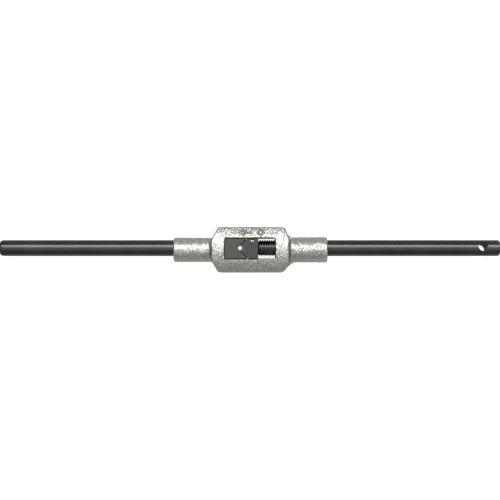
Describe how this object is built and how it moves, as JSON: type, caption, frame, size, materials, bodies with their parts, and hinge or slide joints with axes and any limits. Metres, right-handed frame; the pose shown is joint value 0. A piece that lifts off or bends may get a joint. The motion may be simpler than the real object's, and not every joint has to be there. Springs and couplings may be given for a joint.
{
  "type": "adjustable tap wrench",
  "caption": "Two-handed adjustable tap wrench: cast body with a window, V jaws driven by turning one screwed steel arm, the other arm fixed.",
  "frame": {"origin": "on the arms' common axis at half of the overall length, with the jaws at the small opening that they are stored at", "axes": "+X along the arms towards the adjusting arm, +Z along the tap's axis out of the front face, +Y across the window"},
  "size_m": [0.375, 0.0344, 0.0239],
  "materials": {
    "cast_zinc": "tumbled die-cast zinc, matt silver grey with fine mottling",
    "black_steel_bar": "satin black oxide on ground bar",
    "dark_hardened_steel": "dark grey quench-hardened, ground faces",
    "bright_spring_steel": "bright rolled spring steel"
  },
  "bodies": {
    "frame": {"body": "cast_zinc", "fixed_arm": "black_steel_bar", "fixed_jaw": "dark_hardened_steel"},
    "jaw": {"moving_jaw": "dark_hardened_steel", "jaw_pin": "bright_spring_steel"},
    "arm": {"adjusting_arm": "black_steel_bar"}
  },
  "joints": [
    {"name": "jaw_slide", "type": "slide", "parent": "frame", "child": "jaw", "axis": [1, 0, 0], "range_m": [0, 0.0125]},
    {"name": "arm_turn", "type": "hinge", "parent": "jaw", "child": "arm", "pos_m": [0, 0, 0], "axis": [1, 0, 0], "range_deg": [0, 2573]}
  ],
  "couplings": [
    {"joint": "arm_turn", "follows": "jaw_slide", "rad_per_m": 3590.4}
  ]
}
